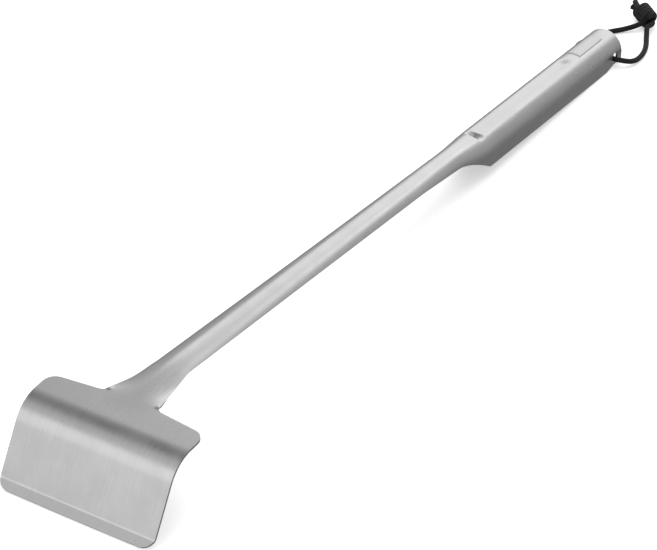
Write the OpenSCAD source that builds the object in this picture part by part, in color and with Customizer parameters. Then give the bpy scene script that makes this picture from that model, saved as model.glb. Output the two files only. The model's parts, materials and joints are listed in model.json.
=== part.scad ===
// Charcoal rake pressed from one stainless sheet, with a cord loop to hang it by.
// The metal is drawn level, with its flange's rear edge at y = 0 and z = 0, and +Y toward
// the handle. It is then tipped so that the blade's lip and the handle's rear edges
// stand on z = 0, which is how it lies on a table.

/* [Sheet] */
// Thickness of the sheet
sheet_t = 1.5; // [1.2:0.1:1.8]

/* [Blade] */
// Width of the blade across the tool
blade_w = 107; // [95:1:120]
// Flat flange between the neck and the bend
flange_d = 17.9; // [15.6:0.1:20]
// Angle that the flange slopes down from the neck to the bend
flange_a = 5; // [0:0.5:7]
// Outside radius of the bend from flange to face
bend_r = 23.7; // [15:0.1:30]
// Angle that the face is bent down from the flange
bend_a = 62.3; // [55:0.1:75]
// Height of the flat face, along its slope
face_h = 32.5; // [25:0.5:50]
// Outside radius of the small bend above the lip
lip_r = 4; // [3:0.5:6]
// Angle that the lip is kicked forward from the face
lip_a = 24; // [15:1:30]
// Flat length of the lip
lip_l = 6; // [4:0.5:8]
// Radius of the blade's two lower corners
lip_corner_r = 8; // [4:0.5:10]
// Radius of the flange's two outer corners
flange_corner_r = 8; // [4:0.5:9]
// Angle that the flange's rear edge slopes forward to its corners
shoulder_a = 6.6; // [2:0.1:12]

/* [Shaft] */
// Half width of the neck where it meets the flange
neck_w = 18.5; // [16:0.5:22]
// Length over which the neck narrows to the shaft
neck_l = 41; // [35:1:60]
// Half width of the shaft at the neck
shaft_w = 11.2; // [10:0.1:12.5]
// Height of the shaft's raised crown above the flange
crown_h = 4.2; // [3:0.1:5]

/* [Handle] */
// Length from the neck to the handle's end
tool_l = 561; // [520:1:620]
// Length of the handle, from the front corner of its skirt
handle_l = 181; // [160:1:200]
// Outside radius of the handle's top
handle_r = 13.6; // [12:0.1:15]
// Depth of the handle from crown to skirt
handle_h = 21.3; // [18:0.1:24]
// Depth of the thumb flute along the handle's crown
flute_h = 1.3; // [0.8:0.1:1.6]
// Diameter of the two holes for the cord
eye_d = 7; // [5.5:0.1:7.5]
// Distance of the holes from the handle's end
eye_back = 9.5; // [8:0.5:12]

/* [Cord] */
// Diameter of the round cord
cord_d = 3.7; // [3:0.1:4]

/* [Hidden] */
$fn = 48;
over = 1;                            // how far cutters pass through a surface

// Blade profile, as points [y, z] on the outside of the sheet
flange_slope = tan(flange_a);
bend_c = -flange_d * [1, flange_slope] + bend_r * [sin(flange_a), -cos(flange_a)];
bend_end = bend_c + bend_r * [-sin(bend_a), cos(bend_a)];
bend_steps = 24;
lip_steps = 6;
face_end = bend_end - face_h * [cos(bend_a), sin(bend_a)];
lip_dir_a = bend_a - lip_a;
lip_c = face_end + (lip_r - sheet_t) * [-sin(bend_a), cos(bend_a)];
lip_start = lip_c + (lip_r - sheet_t) * [sin(lip_dir_a), -cos(lip_dir_a)];
lip_end = lip_start - lip_l * [cos(lip_dir_a), sin(lip_dir_a)];
lip_foot = lip_end + sheet_t * [sin(lip_dir_a), -cos(lip_dir_a)];

// Neck and crown near the flange
window_y = -13;                      // where the raised crown starts in the flange
full_y = 50;                         // where the crown is at its full height
round_y = 28;                        // where the section has become a full arc
neck_dip = 1.6;                      // how far the neck's edges dip below the flange
neck_waist = 0.6;                    // how far the neck's sides curve in
low_crown = 0.2;                     // height of the crown at the shaft's far end
shaft_edge_front = 0.4;              // height of the shaft's edges at the neck
shaft_edge_rear = -5.9;              // height of the shaft's edges at its far end
flare_edge = -8.5;                   // height of the edges where the flare starts
window_share = 0.75;                 // share of the neck's width that the crown takes up

// Shaft and handle stations along Y
shaft_end_w = 10.1;                  // half width where the shaft meets the handle's flare
sweep_l = 37;                        // length of the skirt's sweep down
sweep_power = 1.6;                   // how late the sweep turns down
flare_l = 42;                        // length over which the shaft widens to the handle
skirt_y = tool_l - handle_l;         // front corner of the skirt
flare_y = skirt_y - sweep_l;         // start of the skirt's sweep down
drop_y = skirt_y - 80;               // start of the slow drop ahead of the flare
crown_slope = (low_crown - crown_h) / (drop_y - full_y);
settle_l = 85;                       // length over which the crown settles to the handle's
handle_top = -0.8;                   // handle's crown, level with the flange but for this
skirt_z = handle_top - handle_h;
step_y = tool_l - 21;                // rear kink of the skirt
step_h = 2.3;                        // how far the skirt steps up behind the kink
step_l = 10;                         // length over which the skirt steps up
crease_y = skirt_y - 5.7;            // front edge of the crease ahead of the flute
crease_l = 3.2;                      // length of the crease's front wall
crease_h = 1.8;                      // how much deeper the crease is than the flute
crease_out_l = 5.5;                  // length over which that extra depth runs out
crease_w = 7.5;                      // half width of the crease
crease_x = 1;                        // how far the crease lies right of the middle
dimple_y = tool_l - 63;              // rear end of the flute
dimple_extra = 0.45;                 // how much deeper the dimple is than the flute
dimple_l = 10;                       // half length of the dimple
flute_out_l = 10;                    // length over which the flute runs out
flute_w = 6.8;                       // half width of the flute
badge_y = [tool_l - 46, tool_l - 14];
badge_h = 0.6;
across = 24;                         // strips across the sheet
badge_strips = 4;                    // how many of them the badge covers

// Resting tilt and place: the lip's foot and the skirt's rear kink both stand on z = 0
tilt = -atan2(skirt_z - lip_foot[1], step_y - lip_foot[0]);
function tip(p) = [p[0] * cos(tilt) - p[1] * sin(tilt), p[0] * sin(tilt) + p[1] * cos(tilt)];
rest_z = -tip(lip_foot)[1];
rest_y = -(tip(lip_end)[0] + tip([tool_l, handle_top])[0]) / 2;

// Eye axis in the level tool, and where the cord lies in it
eye_y = tool_l - eye_back;
eye_rim = 1.6;                       // metal left below each hole
eye_z = skirt_z + step_h + eye_rim + eye_d / 2;
cord_in_eye = 0.3;                   // clearance between the cord and the hole's floor
cord_z = eye_z - eye_d / 2 + cord_d / 2 + cord_in_eye;
cord_axis = tip([eye_y, cord_z]) + [rest_y, rest_z];

// Route of the cord, from the knot through both holes and back, measured from the middle of
// the stretch inside the handle, with the tool lying on its table
loop_route = [
    [4.6, 55.6, -0.6], [1.4, 51.4, -1.8], [-2.4, 47.7, -2.9], [-5.9, 44.2, -3.5],
    [-8.7, 40.9, -3.6], [-11.4, 37.2, -3.6], [-14.2, 32.6, -3.6], [-16.6, 27.2, -3.6],
    [-18.2, 21.4, -3.4], [-19, 15.4, -3], [-19, 9.6, -2], [-18.2, 4.6, -0.9],
    [-16.4, 1.3, 0], [-13.6, 0, 0], [-9, 0, 0], [0, 0, 0], [9, 0, 0], [13.6, 0, 0],
    [17.4, 0.7, 0], [20.5, 2.7, -0.7], [22.7, 5.9, -1.8], [24, 10.4, -2.8],
    [24.3, 15.6, -3.4], [23.8, 21.6, -3.6], [22.3, 28.2, -3.6], [19.7, 35.2, -3.5],
    [16.4, 41.8, -2.8], [13.6, 47.4, -1.6], [11, 52.4, 0]
];
knot_front = [8.3, 60.6, 1.4];       // centres of the knot's two round ends
knot_rear = [-3.3, 70.4, 1.4];
knot_r = 6.6;
tail_ends = [[-11.5, 77, 2.4], [-10, 69, 2.8]];   // cut ends of the cord's two tails

function clamp(t) = max(0, min(1, t));
function smooth(t) = clamp(t) * clamp(t) * (3 - 2 * clamp(t));
function lerp(a, b, t) = a + (b - a) * clamp(t);
function hump(t) = abs(t) < 1 ? pow(cos(90 * t), 2) : 0;

// Half width of the sheet at y
function half_w(y) =
    y < 0 ? neck_w
    : y < neck_l ? lerp(neck_w, shaft_w, y / neck_l) - neck_waist * sin(180 * y / neck_l)
    : lerp(shaft_w, shaft_end_w, (y - neck_l) / (drop_y - neck_l))
      + (handle_r - shaft_end_w) * smooth((y - flare_y) / flare_l);

// Height of the sheet's edge at y
function edge_z(y) =
    y < 0 ? flange_slope * y
    : y < neck_l
        ? flange_slope * y * pow(1 - y / neck_l, 2) + shaft_edge_front * y / neck_l
          - neck_dip * hump(2 * y / neck_l - 1)
    : y < drop_y ? lerp(shaft_edge_front, shaft_edge_rear, (y - neck_l) / (drop_y - neck_l))
    : y < flare_y ? lerp(shaft_edge_rear, flare_edge, (y - drop_y) / (flare_y - drop_y))
    : lerp(flare_edge, skirt_z, pow(clamp((y - flare_y) / sweep_l), sweep_power));

// Height of the crown at y
function crown_z(y) =
    y < full_y ? rise(window_y, flange_slope * window_y, flange_slope, y)
    : y < drop_y ? crown_h + crown_slope * (y - full_y)
    : lerp(low_crown, handle_top, smooth((y - drop_y) / settle_l));

// Height at y of the crown's rise, which leaves the flange at y0 with the flange's height and
// slope and joins the shaft's straight crown
function rise(y0, z0, slope, y) =
    let (
        l = full_y - y0,
        t = (y - y0) / l,
        ease = t * t * (3 - 2 * t)
    )
    z0 + (crown_h - z0) * ease
    + l * t * (1 - t) * (slope * (1 - t) - crown_slope * t);

// Depth of the flute at y, which ends in a soft dimple at the rear
function flute(y) =
    flute_h * (smooth((y - crease_y) / crease_l) - smooth((y - dimple_y) / flute_out_l))
    + dimple_extra * hump((y - dimple_y) / dimple_l);

// Extra depth at y of the steep crease at the flute's front
function crease(y) =
    crease_h * (smooth((y - crease_y) / crease_l)
                - smooth((y - crease_y - crease_l) / crease_out_l));

// A point [x, z] of a round section that is w wide each side and h deep, at s from -1 to 1:
// an arc, and below a half circle a straight skirt
function round_point(w, h, s) =
    let (
        r = h < w ? (w * w + h * h) / (2 * h) : w,
        a = h < w ? asin(w / r) : 90,
        arc = r * a * PI / 180,
        skirt = max(0, h - w),
        d = abs(s) * (arc + skirt),
        q = min(d, arc) / r * 180 / PI
    )
    [sign(s) * r * sin(q), r * cos(q) - r - max(0, d - arc)];

// The sheet's outside at y and s, as [x, z]
function sheet_point(y, s) =
    let (
        w = half_w(y),
        h = max(0.02, crown_z(y) - edge_z(y)),
        rounding = smooth(y / round_y),
        r = round_point(w, h, s) + [0, crown_z(y)],
        f = [w * s, edge_z(y) + h * hump(s / window_share)],
        p = y <= 0 ? f : (1 - rounding) * f + rounding * r
    )
    [p[0], p[1] - flute(y) * hump(p[0] / flute_w)
           - crease(y) * hump((p[0] - crease_x) / crease_w)];

function unit(v) = v / norm(v);

// The same point moved out along the section's normal
function offset_point(y, s, out) =
    let (
        e = 0.02,
        a = sheet_point(y, max(-1, s - e)),
        b = sheet_point(y, min(1, s + e)),
        t = unit(b - a),
        p = sheet_point(y, s)
    )
    [p[0] - t[1] * out, y, p[1] + t[0] * out];

function steps(a, b, n) = [for (i = [0:n - 1]) a + (b - a) * i / n];

body_stations = concat(
    steps(window_y, 0, 5), steps(0, 24, 8), steps(24, neck_l + 6, 7),
    steps(neck_l + 6, drop_y, 9), steps(drop_y, flare_y, 5), steps(flare_y, crease_y - 1, 7),
    steps(crease_y - 1, crease_y + 10, 11), steps(crease_y + 10, skirt_y + 14, 5),
    steps(skirt_y + 14, dimple_y - 12, 3), steps(dimple_y - 12, dimple_y + 12, 10),
    [dimple_y + 12, tool_l]
);

// A closed shell between two offsets of the sheet, over the given stations and strips
module shell(stations, s0, s1, n, low, high) {
    rows = len(stations);
    cols = n + 1;
    top = [for (y = stations, j = [0:n]) offset_point(y, s0 + (s1 - s0) * j / n, high)];
    bottom = [for (y = stations, j = [0:n]) offset_point(y, s0 + (s1 - s0) * j / n, low)];
    k = rows * cols;
    function at(i, j) = i * cols + j;
    faces = concat(
        [for (i = [0:rows - 2], j = [0:n - 1]) [at(i, j), at(i + 1, j), at(i + 1, j + 1)]],
        [for (i = [0:rows - 2], j = [0:n - 1]) [at(i, j), at(i + 1, j + 1), at(i, j + 1)]],
        [for (i = [0:rows - 2], j = [0:n - 1])
            [k + at(i, j), k + at(i + 1, j + 1), k + at(i + 1, j)]],
        [for (i = [0:rows - 2], j = [0:n - 1])
            [k + at(i, j), k + at(i, j + 1), k + at(i + 1, j + 1)]],
        [for (i = [0:rows - 2]) [at(i, 0), k + at(i, 0), k + at(i + 1, 0)]],
        [for (i = [0:rows - 2]) [at(i, 0), k + at(i + 1, 0), at(i + 1, 0)]],
        [for (i = [0:rows - 2]) [at(i, n), at(i + 1, n), k + at(i + 1, n)]],
        [for (i = [0:rows - 2]) [at(i, n), k + at(i + 1, n), k + at(i, n)]],
        [for (j = [0:n - 1]) [at(0, j), at(0, j + 1), k + at(0, j + 1)]],
        [for (j = [0:n - 1]) [at(0, j), k + at(0, j + 1), k + at(0, j)]],
        [for (j = [0:n - 1]) [at(rows - 1, j), k + at(rows - 1, j + 1), at(rows - 1, j + 1)]],
        [for (j = [0:n - 1]) [at(rows - 1, j), k + at(rows - 1, j), k + at(rows - 1, j + 1)]]
    );
    polyhedron(concat(top, bottom), faces);
}

// Draws its children with their 2-D x along [y, z] direction a (degrees below -Y) and their
// 2-D y along the tool's X, standing on point p of the profile and rising out of the sheet
module on_profile(p, a) {
    translate([0, p[0], p[1]])
        multmatrix([
            [0, 1, 0, 0],
            [-cos(a), 0, -sin(a), 0],
            [-sin(a), 0, cos(a), 0]
        ])
        children();
}

// Points [y, z] of an arc round c, between two angles that run from +Z toward -Y
function arc_points(c, r, from, to, n) =
    [for (i = [0:n]) let (q = from + (to - from) * i / n) c + r * [-sin(q), cos(q)]];

// Side profile of the blade's sheet, down its outside and back up its inside
blade_profile = concat(
    [[0, 0]],
    arc_points(bend_c, bend_r, flange_a, bend_a, bend_steps),
    arc_points(lip_c, sheet_t - lip_r, bend_a, lip_dir_a, lip_steps),
    [lip_end, lip_foot],
    arc_points(lip_c, -lip_r, lip_dir_a, bend_a, lip_steps),
    arc_points(bend_c, bend_r - sheet_t, bend_a, flange_a, bend_steps),
    [[0, -sheet_t / cos(flange_a)]]
);

// Plan of what the shoulder and its round corner take off the flange's right half
module shoulder_cut() {
    half = blade_w / 2;
    corner = [half, -(half - neck_w) * tan(shoulder_a)];
    inner = (90 - shoulder_a) / 2;
    reach = flange_corner_r * tan(inner);
    centre = corner + [-flange_corner_r, -reach];
    along = [-cos(shoulder_a), sin(shoulder_a)];
    polygon([[neck_w, 0], [neck_w, over], [half + over, over], [half + over, corner[1]], corner]);
    difference() {
        polygon([
            corner, corner + along * reach, centre,
            corner - [0, reach], corner + [over, -reach], corner + [over, 0]
        ]);
        translate(centre) circle(flange_corner_r, $fn = 96);
    }
}

// Plan of what the round corner takes off the lip, with the sharp corner at the origin
module lip_corner_cut() {
    difference() {
        translate([-lip_corner_r, -lip_corner_r])
            square(lip_corner_r + over);
        translate([-lip_corner_r, -lip_corner_r])
            circle(lip_corner_r, $fn = 96);
    }
}

module blade() {
    difference() {
        translate([-blade_w / 2, 0, 0])
            rotate([90, 0, 90])
            linear_extrude(blade_w)
            polygon(blade_profile);
        for (side = [0, 1]) {
            mirror([side, 0, 0]) {
                translate([0, 0, -2 * sheet_t])
                    linear_extrude(4 * sheet_t)
                    shoulder_cut();
                on_profile(lip_end, lip_dir_a + lip_a / 2)
                    translate([0, blade_w / 2, -4 * sheet_t])
                    linear_extrude(8 * sheet_t)
                    lip_corner_cut();
            }
        }
        translate([-neck_w, window_y, -2 * sheet_t])
            cube([2 * neck_w, over - window_y, 4 * sheet_t]);
    }
}

// What the skirt loses behind its rear kink
module skirt_step() {
    translate([-2 * handle_r, 0, 0])
        rotate([90, 0, 90])
        linear_extrude(4 * handle_r)
        polygon([
            [step_y, skirt_z], [step_y + step_l, skirt_z + step_h],
            [tool_l + over, skirt_z + step_h], [tool_l + over, skirt_z - over],
            [step_y, skirt_z - over]
        ]);
}

module at_rest() {
    translate([0, rest_y, rest_z])
        rotate([tilt, 0, 0])
        children();
}

module rake_body() {
    color("silver")
        at_rest()
        difference() {
            union() {
                blade();
                shell(body_stations, -1, 1, across, -sheet_t, 0);
            }
            skirt_step();
            translate([0, eye_y, eye_z])
                rotate([0, 90, 0])
                cylinder(d = eye_d, h = 4 * handle_r, center = true);
        }
}

module badge_plate() {
    color("gainsboro")
        at_rest()
        shell(badge_y, -badge_strips / across, badge_strips / across, badge_strips, 0, badge_h);
}

// A tube with a ring at each point of a path that never runs straight up
module tube(path, d, sides) {
    n = len(path);
    function along(i) = unit(path[min(n - 1, i + 1)] - path[max(0, i - 1)]);
    rings = [for (i = [0:n - 1], k = [0:sides - 1])
        let (
            t = along(i),
            u = unit(cross([0, 0, 1], t)),
            v = cross(t, u)
        )
        path[i] + d / 2 * (cos(360 * k / sides) * u + sin(360 * k / sides) * v)];
    faces = concat(
        [[for (k = [0:sides - 1]) sides - 1 - k]],
        [for (i = [0:n - 2], k = [0:sides - 1])
            [i * sides + k, i * sides + (k + 1) % sides, (i + 1) * sides + (k + 1) % sides]],
        [for (i = [0:n - 2], k = [0:sides - 1])
            [i * sides + k, (i + 1) * sides + (k + 1) % sides, (i + 1) * sides + k]],
        [[for (k = [0:sides - 1]) (n - 1) * sides + k]]
    );
    polyhedron(rings, faces);
}

module at_eye() {
    translate([0, cord_axis[0], cord_axis[1]])
        children();
}

module hanging_cord() {
    color("black")
        at_eye()
        tube(loop_route, cord_d, 8);
}

// Turns its children's +Z along v and moves them to a
module toward(a, v) {
    translate(a)
        rotate([0, acos(v[2] / norm(v)), atan2(v[1], v[0])])
        children();
}

// A bar of length l with round ends, drawn round the Z axis with its first centre at the origin
module round_bar(r, l) {
    rotate_extrude()
        intersection() {
            union() {
                translate([-r, 0]) square([2 * r, l]);
                circle(r);
                translate([0, l]) circle(r);
            }
            translate([0, -2 * r]) square([2 * r, l + 4 * r]);
        }
}

module cord_knot() {
    axis = knot_rear - knot_front;
    color("black")
        at_eye() {
            toward(knot_front, axis)
                round_bar(knot_r, norm(axis));
            for (p = tail_ends)
                toward(knot_rear, p - knot_rear)
                cylinder(d = cord_d, h = norm(p - knot_rear));
        }
}

rake_body();
badge_plate();
hanging_cord();
cord_knot();
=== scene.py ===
"""The looks of the charcoal rake: its pressed sheet, blank badge, hanging cord and knot.

Lengths in the shape functions are millimetres in the level tool frame, which has the flange's
rear edge at y = 0 and z = 0, and +Y toward the handle. place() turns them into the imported
frame's metres.
"""
import json
import math

import bpy
import numpy as np
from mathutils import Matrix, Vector

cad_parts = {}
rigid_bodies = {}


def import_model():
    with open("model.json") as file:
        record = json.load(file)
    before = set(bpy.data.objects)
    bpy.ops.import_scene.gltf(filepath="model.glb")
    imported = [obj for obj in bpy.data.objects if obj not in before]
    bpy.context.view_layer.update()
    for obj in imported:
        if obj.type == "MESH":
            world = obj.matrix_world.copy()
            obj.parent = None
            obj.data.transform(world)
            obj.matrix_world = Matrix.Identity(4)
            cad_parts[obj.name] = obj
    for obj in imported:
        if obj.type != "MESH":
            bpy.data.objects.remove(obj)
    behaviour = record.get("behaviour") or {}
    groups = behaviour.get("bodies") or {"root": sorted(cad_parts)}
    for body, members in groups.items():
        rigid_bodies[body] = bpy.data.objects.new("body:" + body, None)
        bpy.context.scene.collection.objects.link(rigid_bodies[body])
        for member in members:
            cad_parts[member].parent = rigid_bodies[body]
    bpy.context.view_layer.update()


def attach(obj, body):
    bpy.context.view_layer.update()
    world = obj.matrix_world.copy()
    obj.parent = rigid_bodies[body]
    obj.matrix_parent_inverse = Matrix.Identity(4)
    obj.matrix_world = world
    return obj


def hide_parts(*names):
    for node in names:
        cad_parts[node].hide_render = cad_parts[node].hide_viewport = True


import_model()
scene = bpy.context.scene

# ---------------------------------------------------------------- camera
AZIMUTH, ELEVATION, DISTANCE = math.radians(32.88), math.radians(33.97), 1.846
TARGET = Vector((-0.0113, -0.0289, 0.0012))
SENSOR_MM, LENS_MM = 36, 162.3
back = Vector((
    math.sin(AZIMUTH) * math.cos(ELEVATION),
    -math.cos(AZIMUTH) * math.cos(ELEVATION),
    math.sin(ELEVATION),
))
camera_data = bpy.data.cameras.new("camera")
camera_data.sensor_width = SENSOR_MM
camera_data.lens = LENS_MM
camera_data.clip_start, camera_data.clip_end = 0.05, 100
camera = bpy.data.objects.new("camera", camera_data)
camera.location = TARGET + back * DISTANCE
camera.rotation_mode = "QUATERNION"
camera.rotation_quaternion = (-back).to_track_quat("-Z", "Y")
scene.collection.objects.link(camera)
scene.camera = camera

# ---------------------------------------------------------------- the sheet's shape
# Blade: the flange, the bend, the flat face and the lip, with angles in degrees
SHEET_T = 1.5
BLADE_W, FLANGE_D, FLANGE_A, BEND_R, BEND_A, FACE_H = 107, 17.9, 5, 23.7, 62.3, 32.5
LIP_R, LIP_A, LIP_L, LIP_CORNER_R, LIP_BOW = 4, 24, 6, 8, 0.25
FLANGE_CORNER_R, SHOULDER_A, NECK_FILLET = 8, 6.6, 4
FLANGE_SLOPE = math.tan(math.radians(FLANGE_A))
FLANGE_L = FLANGE_D * math.hypot(1, FLANGE_SLOPE)
# Neck and shaft: half widths, then heights of their edges and crown
NECK_W, NECK_L, NECK_DIP, NECK_WAIST, SHAFT_W, SHAFT_END_W = 18.5, 41, 1.6, 0.6, 11.2, 10.1
SHAFT_EDGE_FRONT, SHAFT_EDGE_REAR, FLARE_EDGE = 0.4, -5.9, -8.5
CROWN_H, LOW_CROWN, LEAST_RISE = 4.2, 0.2, 0.02
# Small puckers at the two inner corners: height, place and radius
PUCKER_H, PUCKER_X, PUCKER_Y, PUCKER_R = 0.5, 17, 2.8, 2.7
# Handle: its size, its rear step, and how the shaft widens and sweeps down into it
TOOL_L, HANDLE_L, HANDLE_R, HANDLE_H, HANDLE_TOP = 561, 181, 13.6, 21.3, -0.8
STEP_H, STEP_L = 2.3, 10
SWEEP_L, SWEEP_POWER, FLARE_L, SETTLE_L = 37, 1.6, 42, 85
SKIRT_Y, SKIRT_Z = TOOL_L - HANDLE_L, HANDLE_TOP - HANDLE_H
FLARE_Y, DROP_Y, STEP_Y = SKIRT_Y - SWEEP_L, SKIRT_Y - 80, TOOL_L - 21
# The crown starts under the flange, is full on the shaft, and the section is round by ROUND_Y
WINDOW_Y, FULL_Y, ROUND_Y = -13, 50, 28
CROWN_SLOPE = (LOW_CROWN - CROWN_H) / (DROP_Y - FULL_Y)
# The shallow flute along the handle's top, from its front crease to its rear dimple
FLUTE_H, FLUTE_W = 1.3, 6.8
CREASE_Y, CREASE_H, CREASE_L, CREASE_OUT_L = SKIRT_Y - 5.7, 2.2, 3.2, 5.5
CREASE_W, CREASE_X = 7.5, 1
DIMPLE_Y, DIMPLE_L, DIMPLE_EXTRA = TOOL_L - 63, 10, 0.45
# Badge plate and the two cord holes
BADGE_Y0, BADGE_Y1, BADGE_S, BADGE_H = TOOL_L - 46, TOOL_L - 14, 1 / 6, 0.6
EYE_D, EYE_BACK, EYE_RIM = 7, 9.5, 1.6
EYE_Y = TOOL_L - EYE_BACK
EYE_Z = SKIRT_Z + STEP_H + EYE_D / 2 + EYE_RIM
CORD_D, CORD_GAP = 3.7, 0.3


def sind(a):
    return math.sin(math.radians(a))


def cosd(a):
    return math.cos(math.radians(a))


def clamp(t):
    return max(0.0, min(1.0, t))


def smooth(t):
    """An eased step from 0 at t = 0 to 1 at t = 1."""
    t = clamp(t)
    return t * t * (3 - 2 * t)


def lerp(a, b, t):
    return a + (b - a) * clamp(t)


def hump(t):
    """A rounded bump that is 1 at t = 0 and gone at t = -1 and t = 1."""
    return cosd(90 * t) ** 2 if abs(t) < 1 else 0.0


def half_w(y):
    """Half width of the neck, shaft or handle."""
    if y < 0:
        return NECK_W
    if y < NECK_L:
        return lerp(NECK_W, SHAFT_W, y / NECK_L) - NECK_WAIST * sind(180 * y / NECK_L)
    return (lerp(SHAFT_W, SHAFT_END_W, (y - NECK_L) / (DROP_Y - NECK_L))
            + (HANDLE_R - SHAFT_END_W) * smooth((y - FLARE_Y) / FLARE_L))


def edge_z(y):
    """Height of the sheet's two long edges."""
    if y < 0:
        return FLANGE_SLOPE * y
    if y < NECK_L:
        return (FLANGE_SLOPE * y * (1 - y / NECK_L) ** 2 + SHAFT_EDGE_FRONT * y / NECK_L
                - NECK_DIP * hump(2 * y / NECK_L - 1))
    if y < DROP_Y:
        return lerp(SHAFT_EDGE_FRONT, SHAFT_EDGE_REAR, (y - NECK_L) / (DROP_Y - NECK_L))
    if y < FLARE_Y:
        return lerp(SHAFT_EDGE_REAR, FLARE_EDGE, (y - DROP_Y) / (FLARE_Y - DROP_Y))
    return lerp(FLARE_EDGE, SKIRT_Z, clamp((y - FLARE_Y) / SWEEP_L) ** SWEEP_POWER)


def crown_z(y):
    """Height of the sheet's middle line, leaving the flange and joining the shaft smoothly."""
    if y < FULL_Y:
        z0, rise_l = FLANGE_SLOPE * WINDOW_Y, FULL_Y - WINDOW_Y
        t = (y - WINDOW_Y) / rise_l
        return (z0 + (CROWN_H - z0) * t * t * (3 - 2 * t)
                + rise_l * t * (1 - t) * (FLANGE_SLOPE * (1 - t) - CROWN_SLOPE * t))
    if y < DROP_Y:
        return CROWN_H + CROWN_SLOPE * (y - FULL_Y)
    return lerp(LOW_CROWN, HANDLE_TOP, smooth((y - DROP_Y) / SETTLE_L))


def flute(y):
    """Depth of the flute, a little deeper at the dimple where it ends."""
    return (FLUTE_H * (smooth((y - CREASE_Y) / CREASE_L) - smooth((y - DIMPLE_Y) / DIMPLE_L))
            + DIMPLE_EXTRA * hump((y - DIMPLE_Y) / DIMPLE_L))


def crease(y):
    """Extra depth of the crease that starts the flute."""
    return CREASE_H * (smooth((y - CREASE_Y) / CREASE_L)
                       - smooth((y - CREASE_Y - CREASE_L) / CREASE_OUT_L))


def pucker(x, y):
    """Height of the puckers at the inner corners, where the neck's edges fold down."""
    return PUCKER_H * hump(math.hypot(abs(x) - PUCKER_X, y - PUCKER_Y) / PUCKER_R)


def section(y, w):
    """Rise, radius, arc length and skirt length of the section at y, w wide each side."""
    h = max(LEAST_RISE, crown_z(y) - edge_z(y))
    r = (w * w + h * h) / (2 * h) if h < w else w
    arc = r * (math.asin(w / r) if h < w else math.pi / 2)
    return h, r, arc, max(0.0, h - w)


def sheet_point(y, s, w):
    """The sheet's outside at y and share s of its half width w, as x, z and the arc length."""
    h, r, arc, skirt = section(y, w)
    whole = arc + skirt
    if y > STEP_Y:
        s = s * (1 - STEP_H * clamp((y - STEP_Y) / STEP_L) / whole)
    d = abs(s) * whole
    q = min(d, arc) / r
    x = math.copysign(r * math.sin(q), s)
    z = crown_z(y) + r * math.cos(q) - r - max(0.0, d - arc)
    k = smooth(y / ROUND_Y)
    if k < 1:
        flat_x = w * s
        flat_z = edge_z(y) + h * max(0.0, 1 - (flat_x / half_w(y)) ** 2) + pucker(flat_x, y)
        x, z = (1 - k) * flat_x + k * x, (1 - k) * flat_z + k * z
    z -= flute(y) * hump(x / FLUTE_W) + crease(y) * hump((x - CREASE_X) / CREASE_W)
    return x, z, math.copysign(d, s)


def on_sheet(y, s, w=None):
    """Outside point, normal and developed place of the shaft or handle."""
    w = half_w(y) if w is None else w
    nudge = 0.01
    x, z, d = sheet_point(y, s, w)
    xa, za, _ = sheet_point(y, s - nudge, w)
    xb, zb, _ = sheet_point(y, s + nudge, w)
    n = math.hypot(xb - xa, zb - za)
    return (x, y, z), (-(zb - za) / n, 0.0, (xb - xa) / n), (d, y)


# The neck's fillet, tangent to the flange's rear edge and to the neck's side
NECK_SIDE = math.degrees(math.atan2(
    1, (SHAFT_W - NECK_W) / NECK_L - NECK_WAIST * math.pi / NECK_L))
CORNER_HALF = (NECK_SIDE + SHOULDER_A) / 2
FILLET_C = (NECK_W + NECK_FILLET / sind(CORNER_HALF) * cosd(CORNER_HALF - SHOULDER_A),
            NECK_FILLET / sind(CORNER_HALF) * sind(CORNER_HALF - SHOULDER_A))
FILLET_A0, FILLET_A1 = -90 - SHOULDER_A, NECK_SIDE - 270


def fillet(a):
    """A point of the neck's fillet, as x and y."""
    return (FILLET_C[0] + NECK_FILLET * cosd(a), FILLET_C[1] + NECK_FILLET * sind(a))


def blade_top(x):
    """Developed distance from the neck line to the flange's rear edge at x."""
    x = abs(x)
    corner = (BLADE_W / 2, (BLADE_W / 2 - NECK_W) * math.tan(math.radians(SHOULDER_A)))
    reach = FLANGE_CORNER_R * math.tan(math.radians((90 - SHOULDER_A) / 2))
    cx, cy = corner[0] - FLANGE_CORNER_R, corner[1] + reach
    if x > cx + FLANGE_CORNER_R * sind(SHOULDER_A):
        return cy - math.sqrt(max(0.0, FLANGE_CORNER_R ** 2 - (x - cx) ** 2))
    return (x - NECK_W) * math.tan(math.radians(SHOULDER_A))


BEND_L = BEND_R * math.radians(BEND_A - FLANGE_A)
LIP_BEND_L = (LIP_R - SHEET_T) * math.radians(LIP_A)
D_BEND = FLANGE_L + BEND_L
D_FACE = D_BEND + FACE_H
D_LIP = D_FACE + LIP_BEND_L
D_END = D_LIP + LIP_L


def blade_low(x):
    """Developed distance from the neck line to the lip's edge at x."""
    x = abs(x)
    cx = BLADE_W / 2 - LIP_CORNER_R
    cut = LIP_CORNER_R - math.sqrt(max(0.0, LIP_CORNER_R ** 2 - max(0.0, x - cx) ** 2))
    return D_END - cut - LIP_BOW * (x / BLADE_W * 2) ** 2


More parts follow.
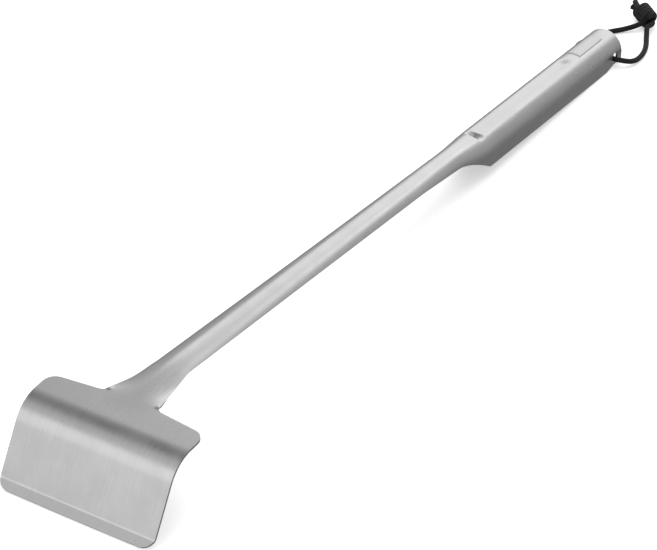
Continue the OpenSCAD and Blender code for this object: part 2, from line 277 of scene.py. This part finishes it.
def on_blade(x, d):
    """Outside point, normal and developed place of the blade at x and d down from the neck."""
    a0 = math.radians(BEND_A)
    a1 = math.radians(BEND_A - LIP_A)
    fa = q = math.radians(FLANGE_A)
    y, z = -min(d, FLANGE_L) * math.cos(fa), -min(d, FLANGE_L) * math.sin(fa)
    if d > FLANGE_L:
        q += min(d - FLANGE_L, BEND_L) / BEND_R
        y -= BEND_R * (math.sin(q) - math.sin(fa))
        z -= BEND_R * (math.cos(fa) - math.cos(q))
    if d > D_BEND:
        e = min(d - D_BEND, FACE_H)
        y, z = y - e * math.cos(a0), z - e * math.sin(a0)
    if d > D_FACE:
        r = LIP_R - SHEET_T
        q = a0 - min(d - D_FACE, LIP_BEND_L) / r
        y -= r * (math.sin(a0) - math.sin(q))
        z -= r * (math.cos(q) - math.cos(a0))
    if d > D_LIP:
        e = d - D_LIP
        y, z = y - e * math.cos(a1), z - e * math.sin(a1)
    normal = (0.0, -math.sin(q), math.cos(q))
    if y > WINDOW_Y:
        h = crown_z(y) - edge_z(y)
        z += h * max(0.0, 1 - (x / NECK_W) ** 2)
        slope = -2 * h * x / NECK_W ** 2 if abs(x) < NECK_W else 0.0
        n = math.hypot(slope, 1)
        normal = (-slope / n, -math.sin(q) / n, math.cos(q) / n)
    return (x, y, z), normal, (x, -d)


def resting():
    """The tilt and shift that stand the lip's foot and the skirt's rear kink on z = 0."""
    a = math.radians(BEND_A - LIP_A)
    (_, y, z), n, _ = on_blade(0, D_END)
    foot = (y + SHEET_T * math.sin(a), z - SHEET_T * math.cos(a))
    tilt = -math.atan2(SKIRT_Z - foot[1], STEP_Y - foot[0])

    def tip(p):
        return (p[0] * math.cos(tilt) - p[1] * math.sin(tilt),
                p[0] * math.sin(tilt) + p[1] * math.cos(tilt))

    shift_y = -(tip((y, z))[0] + tip((TOOL_L, HANDLE_TOP))[0]) / 2
    return tilt, shift_y, -tip(foot)[1]


TILT, REST_Y, REST_Z = resting()


def place(p):
    """A point of the level tool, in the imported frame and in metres."""
    x, y, z = p
    return (x / 1000,
            (y * math.cos(TILT) - z * math.sin(TILT) + REST_Y) / 1000,
            (y * math.sin(TILT) + z * math.cos(TILT) + REST_Z) / 1000)


CORD_Z = EYE_Z - EYE_D / 2 + CORD_D / 2 + CORD_GAP
CORD_AXIS = place((0, EYE_Y, CORD_Z))


# ---------------------------------------------------------------- meshes
def make_mesh(name, verts, faces, uvs, body, sharp=40):
    """A mesh piece whose grain layer holds developed places in metres."""
    mesh = bpy.data.meshes.new(name)
    mesh.from_pydata(verts, [], faces)
    layer = mesh.uv_layers.new(name="grain")
    index = np.empty(len(mesh.loops), dtype=np.int32)
    mesh.loops.foreach_get("vertex_index", index)
    layer.data.foreach_set("uv", (np.array(uvs)[index] / 1000).ravel())
    mesh.polygons.foreach_set("use_smooth", [True] * len(mesh.polygons))
    mesh.set_sharp_from_angle(angle=math.radians(sharp))
    mesh.validate()
    obj = bpy.data.objects.new(name, mesh)
    scene.collection.objects.link(obj)
    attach(obj, body)
    return obj


class Sheet:
    """A grid of outside points with its inner face a sheet's thickness below."""

    def __init__(self):
        self.out, self.low, self.uv, self.faces, self.ids = [], [], [], [], {}

    def add(self, key, hit, thickness=SHEET_T):
        """Adds the point once under its key, with its inner twin, and returns its number."""
        if key not in self.ids:
            p, n, uv = hit
            self.ids[key] = len(self.out)
            self.out.append(place(p))
            self.low.append(place([a - thickness * b for a, b in zip(p, n)]))
            self.uv.append(uv)
        return self.ids[key]

    def build(self, name, body):
        """Joins both faces by a rim along every open edge."""
        k = len(self.out)
        edges = {}
        for f in self.faces:
            for a, b in zip(f, f[1:] + f[:1]):
                edges[(a, b)] = edges.get((a, b), 0) + 1
        rim = [e for e in edges if (e[1], e[0]) not in edges]
        faces = [list(f) for f in self.faces]
        faces += [[k + v for v in reversed(f)] for f in self.faces]
        faces += [[b, a, k + a, k + b] for a, b in rim]
        return make_mesh(name, self.out + self.low, faces, self.uv + self.uv, body)


def spread(stations):
    """Values from (end, step) pairs, each stretch divided evenly, with all ends kept."""
    values = [stations[0][0]]
    for end, step in stations[1:]:
        start = values[-1]
        n = max(1, round((end - start) / step))
        values += [start + (end - start) * (i + 1) / n for i in range(n)]
    return values


IN = 64                        # columns across the neck, shaft and handle
CORNER_W, CORNER_N = 8.5, 16   # the blade's corners and the columns in each
LOW_H, LOW_N = 9, 44           # the blade's foot, which follows the lip's edge, and its rows
D_LOW = D_FACE - LOW_H
sheet = Sheet()

# Blade: rows run down from the flange's rear edge to the lip, columns run across
corner_x, seam_y = fillet(FILLET_A0)
inner = [corner_x * (2 * j / IN - 1) for j in range(IN + 1)]
side = spread([(corner_x, 1), (BLADE_W / 2 - CORNER_W, 1.3)])
side += [BLADE_W / 2 - CORNER_W * (1 - math.sin(math.pi / 2 * i / CORNER_N))
         for i in range(1, CORNER_N + 1)]
columns = [-x for x in reversed(side[1:])] + inner + side[1:]
FIRST = len(side) - 1
rows = [("flange", t) for t in spread([(0, 1), (1, 1 / 12)])[:-1]]
rows += [("flat", d) for d in spread([(FLANGE_L, 1), (D_BEND, 0.8), (D_LOW, 1.5)])]
rows += [("low", t) for t in spread([(0, 1), (1, 1 / LOW_N)])[1:]]


def blade_d(row, x):
    """Developed distance from the neck line to a row at x."""
    kind, v = rows[row]
    if kind == "flat":
        return v
    if kind == "flange":
        top = max(blade_top(x), -seam_y)
        return top + (FLANGE_L - top) * v
    return D_LOW + (blade_low(x) - D_LOW) * v


for i in range(len(rows)):
    for j, x in enumerate(columns):
        sheet.add(("b", i, j), on_blade(x, blade_d(i, x)))
for i in range(len(rows) - 1):
    for j in range(len(columns) - 1):
        a, b = sheet.ids["b", i, j], sheet.ids["b", i, j + 1]
        c, d = sheet.ids["b", i + 1, j + 1], sheet.ids["b", i + 1, j]
        sheet.faces.append([a, d, c, b])

# Shaft and handle: rows run along the tool from the seam, columns run across
neck = [fillet(FILLET_A0 + (FILLET_A1 - FILLET_A0) * i / 14) for i in range(15)]
EYE_CELL = 4.6                 # half the side of the square of cells round each hole
along = [(y, x) for x, y in neck]
along += [(y, None) for y in spread([
    (neck[-1][1], 1), (24, 1.5), (NECK_L + 6, 2.2), (DROP_Y, 6), (FLARE_Y, 3),
    (CREASE_Y - 2, 1.4), (CREASE_Y + 10, 0.35), (SKIRT_Y + 12, 1.2),
    (DIMPLE_Y - 12, 3.4), (DIMPLE_Y + 12, 0.9), (STEP_Y, 2.2), (EYE_Y - EYE_CELL, 0.85),
    (EYE_Y + EYE_CELL, 0.84), (TOOL_L, 0.8),
])[1:]]
along = [a for i, a in enumerate(along) if i == 0 or a[0] > along[i - 1][0] + 1e-6]
s_of = [2 * j / IN - 1 for j in range(IN + 1)]


def key(i, j):
    """The sheet's name for column j of row i; the first row is shared with the blade."""
    return ("b", 0, FIRST + j) if i == 0 else ("s", i, j)


# Cells round each hole give way to rings that run from a square to the hole's circle
whole = sum(section(EYE_Y, half_w(EYE_Y))[2:])
kept = 1 - STEP_H / whole
eye_d = section(EYE_Y, half_w(EYE_Y))[2] + (crown_z(EYE_Y) - HANDLE_R - EYE_Z)
in_reach = [i for i, (y, _) in enumerate(along) if abs(y - EYE_Y) < EYE_CELL + 0.01]
i0, i1 = in_reach[0], in_reach[-1]
holes = []
for sign in (-1, 1):
    js = [j for j in range(IN + 1) if abs(s_of[j] * whole * kept - sign * eye_d) < EYE_CELL - 0.1]
    holes.append((js[0], js[-1], sign))


def cell_in_hole(i, j):
    return any(i0 <= i < i1 and j0 <= j < j1 for j0, j1, _ in holes)


def point_in_hole(i, j):
    return any(i0 < i < i1 and j0 < j < j1 for j0, j1, _ in holes)


def ring_point(loop, sign, m, r):
    """Point m of ring r round a hole, where ring 0 is the square's rim."""
    m %= len(loop)
    return sheet.ids[key(*loop[m])] if r == 0 else sheet.ids["h", sign, m, r]


for i, (y, w) in enumerate(along):
    for j in range(IN + 1):
        if i and not point_in_hole(i, j):
            sheet.add(key(i, j), on_sheet(y, s_of[j], w))
for i in range(len(along) - 1):
    for j in range(IN):
        if not cell_in_hole(i, j):
            a, b, c, d = (sheet.ids[k] for k in (
                key(i, j), key(i, j + 1), key(i + 1, j + 1), key(i + 1, j)))
            sheet.faces.append([a, b, c, d])
RINGS = 4
for j0, j1, sign in holes:
    loop = ([(i0, j) for j in range(j0, j1)] + [(i, j1) for i in range(i0, i1)]
            + [(i1, j) for j in range(j1, j0, -1)] + [(i, j0) for i in range(i1, i0, -1)])
    for m, (i, j) in enumerate(loop):
        y, d = along[i][0], abs(s_of[j]) * whole * kept
        angle = math.atan2(d - eye_d, y - EYE_Y)
        cy, cd = EYE_Y + EYE_D / 2 * math.cos(angle), eye_d + EYE_D / 2 * math.sin(angle)
        for r in range(1, RINGS + 1):
            t = r / RINGS
            ry, rd = y + (cy - y) * t, d + (cd - d) * t
            sheet.add(("h", sign, m, r), on_sheet(ry, sign * rd / whole / kept))
    for m in range(len(loop)):
        for r in range(RINGS):
            sheet.faces.append([ring_point(loop, sign, *at) for at in (
                (m, r), (m + 1, r), (m + 1, r + 1), (m, r + 1))])
rake = sheet.build("rake_sheet", "rake")
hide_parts("rake_body")
bevel = rake.modifiers.new("soft_edges", "BEVEL")
bevel.width, bevel.segments, bevel.limit_method = 0.0003, 3, "ANGLE"
bevel.angle_limit = math.radians(50)

# ---------------------------------------------------------------- badge plate
badge = Sheet()
ACROSS, ALONG = 40, 96
ROUNDING, SINK = 0.7, 0.2
GROOVE_H, GROOVE_IN, GROOVE_W = 0.16, 1.1, 0.45
half_badge = BADGE_S * sum(section(BADGE_Y0, half_w(BADGE_Y0))[2:])
long_badge = BADGE_Y1 - BADGE_Y0


def badge_hit(i, j):
    """Outside point, normal and developed place of the plate, with a fine groove inside its rim."""
    y = BADGE_Y0 + long_badge * i / ALONG
    s = BADGE_S * (2 * j / ACROSS - 1)
    p, n, uv = on_sheet(y, s)
    inset = min(y - BADGE_Y0, BADGE_Y1 - y, half_badge * (1 - abs(s) / BADGE_S))
    groove = GROOVE_H * hump((inset - GROOVE_IN) / GROOVE_W)
    up = BADGE_H * smooth(0.35 + inset / ROUNDING) - groove
    return [a + up * b for a, b in zip(p, n)], n, uv


for i in range(ALONG + 1):
    for j in range(ACROSS + 1):
        badge.add((i, j), badge_hit(i, j), BADGE_H + SINK)
for i in range(ALONG):
    for j in range(ACROSS):
        badge.faces.append([badge.ids[i, j], badge.ids[i, j + 1],
                            badge.ids[i + 1, j + 1], badge.ids[i + 1, j]])
plate = badge.build("blank_badge", "rake")
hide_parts("badge_plate")

# ---------------------------------------------------------------- cord and knot
# The loop from the knot round the far side, through both holes and back, from the holes' axis
ROUTE = [
    (4.6, 55.6, -0.6), (1.4, 51.4, -1.8), (-2.4, 47.7, -2.9), (-5.9, 44.2, -3.5),
    (-8.7, 40.9, -3.6), (-11.4, 37.2, -3.6), (-14.2, 32.6, -3.6), (-16.6, 27.2, -3.6),
    (-18.2, 21.4, -3.4), (-19, 15.4, -3), (-19, 9.6, -2), (-18.2, 4.6, -0.9),
    (-16.4, 1.3, 0), (-13.6, 0, 0), (-9, 0, 0), (0, 0, 0), (9, 0, 0), (13.6, 0, 0),
    (17.4, 0.7, 0), (20.5, 2.7, -0.7), (22.7, 5.9, -1.8), (24, 10.4, -2.8),
    (24.3, 15.6, -3.4), (23.8, 21.6, -3.6), (22.3, 28.2, -3.6), (19.7, 35.2, -3.5),
    (16.4, 41.8, -2.8), (13.6, 47.4, -1.6), (11, 52.4, 0),
]
MIDDLE = 15                    # the route's point inside the handle


def at_eye(p):
    """A point given from the cord's place in the holes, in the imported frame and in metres."""
    return np.array(CORD_AXIS) + np.array(p) / 1000


def curve_through(points, step):
    """Points about a step apart on a centripetal spline through the given ones."""
    p = np.array(points, dtype=float)
    p = np.vstack([2 * p[0] - p[1], p, 2 * p[-1] - p[-2]])
    found = []
    for k in range(1, len(p) - 2):
        a, b, c, d = p[k - 1:k + 3]
        t = np.cumsum([0] + [max(1e-9, np.linalg.norm(v) ** 0.5) for v in (b - a, c - b, d - c)])
        n = max(2, int(np.linalg.norm(c - b) / step))
        for u in np.linspace(t[1], t[2], n, endpoint=False):
            a1 = (t[1] - u) / (t[1] - t[0]) * a + (u - t[0]) / (t[1] - t[0]) * b
            a2 = (t[2] - u) / (t[2] - t[1]) * b + (u - t[1]) / (t[2] - t[1]) * c
            a3 = (t[3] - u) / (t[3] - t[2]) * c + (u - t[2]) / (t[3] - t[2]) * d
            b1 = (t[2] - u) / (t[2] - t[0]) * a1 + (u - t[0]) / (t[2] - t[0]) * a2
            b2 = (t[3] - u) / (t[3] - t[1]) * a2 + (u - t[1]) / (t[3] - t[1]) * a3
            found.append((t[2] - u) / (t[2] - t[1]) * b1 + (u - t[1]) / (t[2] - t[1]) * b2)
    found.append(p[-2])
    found = np.array(found)
    run = np.concatenate([[0], np.cumsum(np.linalg.norm(np.diff(found, axis=0), axis=1))])
    even = np.linspace(0, run[-1], max(4, int(run[-1] / step)))
    return np.column_stack([np.interp(even, run, found[:, k]) for k in range(3)])


STRANDS, SIDES, BRAID_PITCH = 8, 32, 0.0026


def braid(angle, along_m):
    """Height of the braid's surface, from 0 to 1: two sets of strands over and under."""
    a = STRANDS * angle / (2 * math.pi) + along_m / BRAID_PITCH
    b = STRANDS * angle / (2 * math.pi) - along_m / BRAID_PITCH
    over = (round(a) + round(b)) % 2
    fa, fb = abs(math.cos(math.pi * (a - round(a)))), abs(math.cos(math.pi * (b - round(b))))
    return max(fa * (0.72 + 0.28 * over), fb * (1 - 0.28 * over))


def tube(path, diameter, ends=(0.0, 0.0)):
    """Vertices, faces and places of a braided tube along a path, its ends closed. ends says
    how far each end swells, as a share of the radius."""
    path = np.array(path)
    n = len(path)
    tangent = np.gradient(path, axis=0)
    tangent /= np.linalg.norm(tangent, axis=1)[:, None]
    side = np.cross(tangent[0], (0.0, 0.0, 1.0))
    if np.linalg.norm(side) < 0.2:
        side = np.cross(tangent[0], (1.0, 0.0, 0.0))
    run = np.concatenate([[0], np.cumsum(np.linalg.norm(np.diff(path, axis=0), axis=1))])
    verts, uvs, faces = [], [], []
    for i in range(n):
        side = side - tangent[i] * side.dot(tangent[i])
        side /= np.linalg.norm(side)
        third = np.cross(tangent[i], side)
        left, right = run[i], run[-1] - run[i]
        swell = 1 + sum(e * math.exp(-(x / 0.0008) ** 2) for e, x in zip(ends, (left, right)))
        for m in range(SIDES):
            angle = 2 * math.pi * m / SIDES
            r = diameter / 2 * swell * (0.93 + 0.09 * braid(angle, run[i]))
            verts.append(path[i] + r * (math.cos(angle) * side + math.sin(angle) * third))
            uvs.append((angle * diameter / 2 * 1000, run[i] * 1000))
    for i in range(n - 1):
        for m in range(SIDES):
            a, b = i * SIDES + m, i * SIDES + (m + 1) % SIDES
            faces.append([a, b, b + SIDES, a + SIDES])
    for end, i in ((0, 0), (1, n - 1)):
        last = range(i * SIDES, (i + 1) * SIDES)
        rim = list(last)
        out = tangent[i] * (1 if end else -1)
        for scale, push in ((0.8, 0.22), (0.45, 0.36)):
            ring = list(range(len(verts), len(verts) + SIDES))
            verts += [path[i] + (verts[v] - path[i]) * scale + out * diameter / 2 * push
                      for v in last]
            uvs += [uvs[v] for v in last]
            for m in range(SIDES):
                a, b = rim[m], rim[(m + 1) % SIDES]
                c, d = ring[(m + 1) % SIDES], ring[m]
                faces.append([a, d, c, b] if end == 0 else [a, b, c, d])
            rim = ring
        faces.append(list(reversed(rim)) if end == 0 else rim)
    return verts, faces, uvs


def tube_piece(name, paths, diameter, ends=(0.0, 0.0)):
    """One piece of the hanging loop, made of a tube along each path."""
    verts, faces, uvs = [], [], []
    for path in paths:
        v, f, u = tube(path, diameter, ends)
        faces += [[len(verts) + x for x in face] for face in f]
        verts += v
        uvs += u
    return make_mesh(name, [tuple(v) for v in verts], faces, uvs, "hang_loop", 80)


# Knot: a doubled overhand knot, as two strands that go in, wrap back and come out as tails
KNOT_A, KNOT_B = np.array([10.9, 58.5, 1.4]), np.array([-6, 72.8, 1.4])
knot_v = (KNOT_B - KNOT_A) / np.linalg.norm(KNOT_B - KNOT_A)
knot_u = np.array([knot_v[1], -knot_v[0], 0])
knot_w = np.array([0, 0, 1.0])
CORE, WRAP = 1.7, 4.8


def in_knot(u, w, t):
    """A point beside the knot's axis by u, above it by w and t along it."""
    return KNOT_A + u * knot_u + w * knot_w + t * knot_v


def knot_strand(leg, tail, turn, enter):
    """One strand of the knot from its leg to its tail; turn is 1, or -1 for the strand that
    lies half a turn round, and enter is how far along the knot it comes in."""
    first, turns, pitch, start, n = -60, 2.45, 6.9, 19.4, 50
    points = [leg, in_knot(turn * CORE, -turn * CORE, enter),
              in_knot(turn * CORE, -turn * CORE, 10),
              in_knot(turn * 1.9, -turn * 1.9, start - 1.2)]
    for k in range(0, n + 1):
        q = first + 360 * turns * k / n
        r = WRAP - 1.4 * (hump(k / 3) + hump((n - k) / 3)) + 0.25 * sind(2 * q + 40)
        t = start + 0.8 * hump(k / 3) - pitch * turns * k / n + turn * 1.3 * cosd(q + 30)
        points.append(in_knot(turn * r * cosd(q), turn * r * sind(q), t))
    points += [in_knot(-turn * 1.2, turn * 1.9, 5.5), in_knot(-turn * 1.5, turn * 1.6, 16), tail]
    return points


near_leg = [at_eye(p) for p in ROUTE[MIDDLE:]]
far_leg = [at_eye(p) for p in reversed(ROUTE[:MIDDLE + 1])]
strand_1 = [at_eye(p) for p in knot_strand(
    np.array(ROUTE[-1]), np.array([-11.5, 77, 2.4]), 1, 0.8)]
strand_2 = [at_eye(p) for p in knot_strand(
    np.array(ROUTE[0]), np.array([-10, 69, 2.8]), -1, 4)]
PATH_STEP, DIAMETER, CUT_END_SWELL = 0.00042, CORD_D / 1000, 0.12
near_path, far_path = curve_through(near_leg, PATH_STEP), curve_through(far_leg, PATH_STEP)
knot_paths = [curve_through(strand, PATH_STEP) for strand in (strand_1, strand_2)]
knot = tube_piece("loop_knot", knot_paths, DIAMETER, (0.0, CUT_END_SWELL))
near_cord = tube_piece("loop_cord_near", [near_path], DIAMETER)
far_cord = tube_piece("loop_cord_far", [far_path], DIAMETER)
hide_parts("cord_knot")
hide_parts("hanging_cord")
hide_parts("hanging_cord")


# ---------------------------------------------------------------- materials
class Nodes:
    """Short ways to add and link shader nodes."""

    def __init__(self, tree):
        self.tree = tree

    def add(self, kind, **values):
        """A new node; each value is one of its settings, or else one of its inputs."""
        node = self.tree.nodes.new("ShaderNode" + kind)
        for name, value in values.items():
            if hasattr(node, name):
                setattr(node, name, value)
            else:
                node.inputs[name.replace("_", " ")].default_value = value
        return node

    def link(self, a, b):
        self.tree.links.new(a, b)


def noise(n, vector, scale, detail=3.0, roughness=0.55):
    """Noise from 0 to 1, scaled on its own along each axis."""
    mapping = n.add("Mapping")
    mapping.inputs["Scale"].default_value = scale
    n.link(vector, mapping.inputs["Vector"])
    made = n.add("TexNoise")
    made.inputs["Scale"].default_value = 1
    made.inputs["Detail"].default_value = detail
    made.inputs["Roughness"].default_value = roughness
    n.link(mapping.outputs["Vector"], made.inputs["Vector"])
    return made.outputs["Fac"]


def ramp(n, value, low, high, to_low, to_high):
    """A value carried over from one range to another, and held at its ends."""
    made = n.add("MapRange")
    for name, v in (("From Min", low), ("From Max", high), ("To Min", to_low), ("To Max", to_high)):
        made.inputs[name].default_value = v
    n.link(value, made.inputs["Value"])
    return made.outputs["Result"]


def maths(n, operation, a, b):
    """Two numbers or sockets, put together by a Math node."""
    made = n.add("Math", operation=operation)
    for socket, v in zip(made.inputs, (a, b)):
        if isinstance(v, (int, float)):
            socket.default_value = v
        else:
            n.link(v, socket)
    return made.outputs["Value"]


def principled(name):
    """A new material, its nodes and its shader."""
    material = bpy.data.materials.new(name)
    material.use_nodes = True
    return material, Nodes(material.node_tree), material.node_tree.nodes["Principled BSDF"]


def tinted(n, shader, level, blue):
    """Colours the shader a grey level, its blue raised or lowered by a share."""
    colour = n.add("CombineColor")
    for channel, share in (("Red", 1), ("Green", 1), ("Blue", blue)):
        n.link(maths(n, "MULTIPLY", level, share), colour.inputs[channel])
    n.link(colour.outputs["Color"], shader.inputs["Base Color"])


def bumped(n, shader, height, strength, distance):
    """Tilts the shader's normals by a height."""
    bump = n.add("Bump")
    bump.inputs["Strength"].default_value = strength
    bump.inputs["Distance"].default_value = distance
    n.link(height, bump.inputs["Height"])
    n.link(bump.outputs["Normal"], shader.inputs["Normal"])


def brushed(name, tone, rough, grain):
    """Brushed stainless: streaks along the sheet's own length, broad cloudy tone changes,
    faint handling marks, and a painted highlight that brightens convex edges."""
    material, n, shader = principled(name)
    shader.inputs["Metallic"].default_value = 1
    uv = n.add("UVMap", uv_map="grain").outputs["UV"]
    place_at = n.add("TexCoord").outputs["Object"]
    fine = noise(n, uv, (2600, 45, 1), 4, 0.6)
    streak = noise(n, uv, (620, 14, 1), 3, 0.6)
    cloud = noise(n, place_at, (14, 14, 14), 3)
    smudge = noise(n, place_at, (55, 55, 55), 4)
    tone_up = maths(n, "ADD", ramp(n, fine, 0.3, 0.7, -grain, grain),
                    ramp(n, streak, 0.3, 0.7, -grain * 0.8, grain * 0.8))
    tone_up = maths(n, "ADD", tone_up, ramp(n, cloud, 0.35, 0.65, -0.02, 0.02))
    # Painted highlight: convex edges, found by Pointiness, are made brighter where light would
    # catch the rims
    edges = n.add("NewGeometry").outputs["Pointiness"]
    tone_up = maths(n, "ADD", tone_up, ramp(n, edges, 0.53, 0.62, 0, 0.1))
    tinted(n, shader, maths(n, "ADD", tone_up, tone), 1.012)
    roughness = maths(n, "ADD", ramp(n, fine, 0.3, 0.7, -0.05, 0.05),
                      ramp(n, smudge, 0.4, 0.7, rough - 0.02, rough + 0.05))
    n.link(roughness, shader.inputs["Roughness"])
    relief = maths(n, "ADD", fine, maths(n, "MULTIPLY", streak, 0.6))
    bumped(n, shader, relief, 0.07, 0.0001)
    return material


def corded(name):
    """Black braided cord: near-black yarn with faint dusty blotches, a painted highlight on the
    braid's crests and painted shade in its hollows, fine fibres and a soft sheen.
    """
    material, n, shader = principled(name)
    shader.inputs["Sheen Weight"].default_value = 0.05
    shader.inputs["Sheen Roughness"].default_value = 0.4
    shader.inputs["Specular IOR Level"].default_value = 0.3
    uv = n.add("UVMap", uv_map="grain").outputs["UV"]
    place_at = n.add("TexCoord").outputs["Object"]
    fibre = noise(n, uv, (5200, 1500, 1), 4, 0.65)
    worn = noise(n, place_at, (260, 260, 260), 3)
    edges = n.add("NewGeometry").outputs["Pointiness"]
    # The Pointiness term is painted light: a painted highlight on the braid's crests and painted
    # shade in its hollows
    level = maths(n, "ADD", ramp(n, fibre, 0.3, 0.7, 0.003, 0.009),
                  maths(n, "ADD", ramp(n, edges, 0.45, 0.6, -0.002, 0.006),
                        ramp(n, worn, 0.4, 0.7, 0, 0.003)))
    tinted(n, shader, level, 1.04)
    n.link(ramp(n, fibre, 0.3, 0.7, 0.55, 0.75), shader.inputs["Roughness"])
    bumped(n, shader, fibre, 0.4, 0.00015)
    return material


steel = brushed("brushed_stainless", 0.62, 0.3, 0.02)
badge_steel = brushed("badge_steel", 0.6, 0.34, 0.02)
cord_black = corded("black_cord")
for piece, material in ((rake, steel), (plate, badge_steel), (knot, cord_black),
                        (near_cord, cord_black), (far_cord, cord_black)):
    piece.data.materials.clear()
    piece.data.materials.append(material)

# ---------------------------------------------------------------- floor and light
# A round paper floor, flat as far as FLAT_R and then curving up to its rim, in metres
FLAT_R, RISE_W, RISE_H, RISE_N, TURNS = 6, 6, 2.6, 8, 64
profile = [(1.5, 0), (4, 0), (FLAT_R, 0)]
profile += [(FLAT_R + RISE_W * t / RISE_N, RISE_H * smooth(t / RISE_N))
            for t in range(1, RISE_N + 1)]
verts = [(r * math.cos(2 * math.pi * k / TURNS), r * math.sin(2 * math.pi * k / TURNS), z)
         for r, z in profile for k in range(TURNS)]
centre = len(verts)
verts.append((0, 0, 0))
faces = [[centre, k, (k + 1) % TURNS] for k in range(TURNS)]
faces += [[i * TURNS + k, (i + 1) * TURNS + k, (i + 1) * TURNS + (k + 1) % TURNS,
           i * TURNS + (k + 1) % TURNS] for i in range(len(profile) - 1) for k in range(TURNS)]
mesh = bpy.data.meshes.new("floor")
mesh.from_pydata(verts, [], faces)
mesh.polygons.foreach_set("use_smooth", [True] * len(mesh.polygons))
floor = bpy.data.objects.new("floor", mesh)
scene.collection.objects.link(floor)
floor.visible_glossy = False
paper, _, paper_shader = principled("paper")
paper_shader.inputs["Base Color"].default_value = (0.9, 0.9, 0.9, 1)
paper_shader.inputs["Roughness"].default_value = 1
paper_shader.inputs["Specular IOR Level"].default_value = 0
paper_shader.inputs["Emission Color"].default_value = (1, 1, 1, 1)
paper_shader.inputs["Emission Strength"].default_value = 0.42
floor.data.materials.append(paper)

world = bpy.data.worlds.new("studio")
world.use_nodes = True
scene.world = world
sky = Nodes(world.node_tree)
background = world.node_tree.nodes["Background"]
direction = sky.add("TexCoord").outputs["Generated"]
split = sky.add("SeparateXYZ")
sky.link(direction, split.inputs["Vector"])


def bands(n, value, stops):
    """Brightness along a value from -1 to 1, given as stops of value and brightness."""
    made = n.add("ValToRGB")
    elements = made.color_ramp.elements
    while len(elements) < len(stops):
        elements.new(0.5)
    for e, (at, v) in zip(elements, stops):
        e.position = (at + 1) / 2
        e.color = (v, v, v, 1)
    n.link(ramp(n, value, -1, 1, 0, 1), made.inputs["Fac"])
    return made.outputs["Color"]


# The studio is dark below the tool, pale round its sides, and has one dark gap overhead
BY_HEIGHT = [(-1, 0.2), (-0.35, 0.24), (-0.12, 0.34), (0.08, 0.44), (0.3, 0.49), (0.6, 0.58),
             (1, 0.66)]
BY_GAP = [(-1, 1), (0.88, 1), (0.945, 0.82), (0.98, 0.36), (1, 0.26)]
gap = sky.add("VectorMath", operation="DOT_PRODUCT")
sky.link(direction, gap.inputs[0])
gap.inputs[1].default_value = Vector((-0.45, 0.175, 0.877)).normalized()
level = sky.add("Mix", data_type="RGBA", blend_type="MULTIPLY")
level.inputs["Factor"].default_value = 1
colours = [i for i in level.inputs if i.type == "RGBA"]
sky.link(bands(sky, split.outputs["Z"], BY_HEIGHT), colours[0])
sky.link(bands(sky, gap.outputs["Value"], BY_GAP), colours[1])
sky.link([o for o in level.outputs if o.type == "RGBA"][0], background.inputs["Color"])
background.inputs["Strength"].default_value = 1.0


def panel(name, at, towards, size, level):
    """A soft rectangular light of the given brightness, unseen by the camera."""
    data = bpy.data.lights.new(name, "AREA")
    data.shape, data.size, data.size_y = "RECTANGLE", *size
    data.energy = level * math.pi * size[0] * size[1]
    made = bpy.data.objects.new(name, data)
    made.location = at
    made.rotation_euler = (Vector(towards) - Vector(at)).to_track_quat("-Z", "Y").to_euler()
    made.visible_camera = False
    scene.collection.objects.link(made)


panel("back_panel", (-0.35, 1.35, 0.72), (-0.1, 0, 0.2), (1.6, 1.1), 0.68)
panel("shoulder_panel", (0.5, 1.3, 1.2), (0, 0, 0.1), (0.8, 0.4), 0.35)
panel("front_panel", (-0.75, -1.6, 0.85), (-0.1, -0.3, 0.1), (1.3, 1.2), 0.58)

sun_data = bpy.data.lights.new("soft_sun", "SUN")
sun_data.energy, sun_data.angle = 1.6, math.radians(70)
sun = bpy.data.objects.new("soft_sun", sun_data)
sun.rotation_euler = (math.radians(-18), math.radians(-20), 0)
sun.visible_glossy = False
scene.collection.objects.link(sun)
scene.view_settings.view_transform = "Standard"
